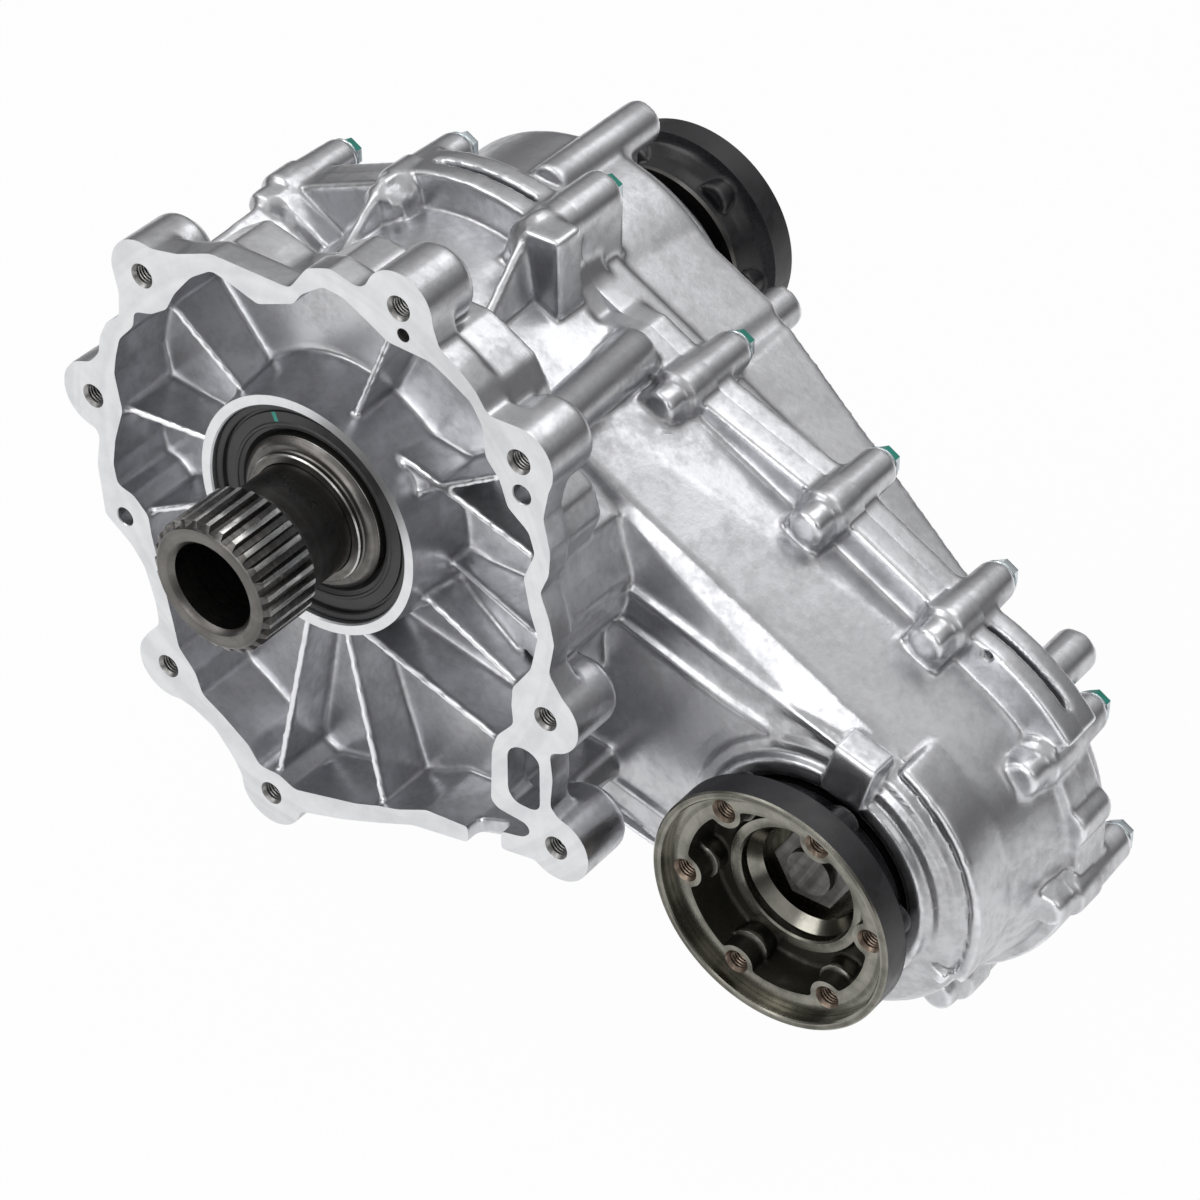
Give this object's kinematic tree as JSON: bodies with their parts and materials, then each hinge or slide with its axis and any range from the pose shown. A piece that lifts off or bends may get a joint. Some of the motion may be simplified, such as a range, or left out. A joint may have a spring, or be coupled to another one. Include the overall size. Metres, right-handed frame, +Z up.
{
  "type": "transfer case",
  "caption": "Full-time transfer case: ribbed aluminium bell and chain case, hollow splined input shaft, planetary centre differential and two black output flanges.",
  "frame": {"origin": "on the input axis, in the plane of the bell's machined face", "axes": "-Y towards the transmission, +Y towards the rear propeller shaft, +Z up, the chain case runs down towards +X"},
  "size_m": [0.4642, 0.3505, 0.373],
  "materials": {
    "cast_aluminium": "die-cast, satin",
    "zinc_bolt": "zinc plated",
    "bearing_steel": "ground",
    "dark_steel": "oiled, dark",
    "ground_steel": "fine ground",
    "gear_steel": "case hardened",
    "seal_rubber": "moulded",
    "washer_brass": "plain",
    "black_paint": "satin black"
  },
  "bodies": {
    "case": {"front_case": "cast_aluminium", "rear_case": "cast_aluminium", "seam_bolts": "zinc_bolt", "locating_dowels": "bearing_steel", "fill_plug": "zinc_bolt", "drain_plug": "zinc_bolt", "chip_magnet": "dark_steel", "breather": "zinc_bolt", "input_seal": "seal_rubber", "input_snap_ring": "dark_steel", "front_output_seal": "seal_rubber", "rear_output_seal": "seal_rubber", "drive_chain": "dark_steel", "input_bearing_outer": "bearing_steel", "input_bearing_balls": "bearing_steel", "sun_bearing_outer": "bearing_steel", "sun_bearing_balls": "bearing_steel", "rear_bearing_outer": "bearing_steel", "rear_bearing_balls": "bearing_steel", "front_out_bearing_outer": "bearing_steel", "front_out_bearing_balls": "bearing_steel", "tail_bearing_outer": "bearing_steel", "tail_bearing_balls": "bearing_steel"},
    "sun_drive": {"sun_gear": "gear_steel", "drive_sprocket": "gear_steel", "drive_sprocket_ring": "dark_steel", "sun_bearing_inner": "bearing_steel"},
    "front_output": {"front_output_shaft": "dark_steel", "front_output_flange": "black_paint", "front_flange_nut": "zinc_bolt", "front_dust_shield": "dark_steel", "driven_sprocket": "gear_steel", "driven_sprocket_ring": "dark_steel", "front_out_bearing_inner": "bearing_steel", "tail_bearing_inner": "bearing_steel"},
    "input_carrier": {"input_shaft": "dark_steel", "input_collar": "ground_steel", "input_bearing_inner": "bearing_steel", "planet_carrier": "gear_steel", "carrier_ring": "gear_steel", "planet_pins": "bearing_steel", "thrust_washer": "washer_brass"},
    "rear_output": {"ring_gear": "gear_steel", "ring_drum": "gear_steel", "rear_output_shaft": "dark_steel", "rear_output_flange": "black_paint", "rear_flange_nut": "zinc_bolt", "rear_dust_shield": "dark_steel", "rear_bearing_inner": "bearing_steel"},
    "planet_1": {"planet_1": "gear_steel"},
    "planet_2": {"planet_2": "gear_steel"},
    "planet_3": {"planet_3": "gear_steel"},
    "planet_4": {"planet_4": "gear_steel"}
  },
  "joints": [
    {"name": "front_drive_spin", "type": "hinge", "parent": "case", "child": "sun_drive", "pos_m": [0, 0, 0], "axis": [0, 1, 0], "continuous": true, "deforming": ["drive_chain"]},
    {"name": "front_output_spin", "type": "hinge", "parent": "case", "child": "front_output", "pos_m": [0.22888, 0, -0.11728], "axis": [0, 1, 0], "continuous": true},
    {"name": "differential_spin", "type": "hinge", "parent": "sun_drive", "child": "input_carrier", "pos_m": [0, 0, 0], "axis": [0, 1, 0], "continuous": true},
    {"name": "rear_output_spin", "type": "hinge", "parent": "sun_drive", "child": "rear_output", "pos_m": [0, 0, 0], "axis": [0, 1, 0], "continuous": true},
    {"name": "planet_1_spin", "type": "hinge", "parent": "input_carrier", "child": "planet_1", "pos_m": [0.048, 0, 0], "axis": [0, 1, 0], "continuous": true},
    {"name": "planet_2_spin", "type": "hinge", "parent": "input_carrier", "child": "planet_2", "pos_m": [0, 0, 0.048], "axis": [0, 1, 0], "continuous": true},
    {"name": "planet_3_spin", "type": "hinge", "parent": "input_carrier", "child": "planet_3", "pos_m": [-0.048, 0, 0], "axis": [0, 1, 0], "continuous": true},
    {"name": "planet_4_spin", "type": "hinge", "parent": "input_carrier", "child": "planet_4", "pos_m": [0, 0, -0.048], "axis": [0, 1, 0], "continuous": true}
  ],
  "couplings": [
    {"joint": "front_output_spin", "follows": "front_drive_spin", "ratio": 1},
    {"joint": "rear_output_spin", "follows": "differential_spin", "ratio": 1.4545},
    {"joint": "planet_1_spin", "follows": "differential_spin", "ratio": 1.6667},
    {"joint": "planet_2_spin", "follows": "differential_spin", "ratio": 1.6667},
    {"joint": "planet_3_spin", "follows": "differential_spin", "ratio": 1.6667},
    {"joint": "planet_4_spin", "follows": "differential_spin", "ratio": 1.6667}
  ]
}
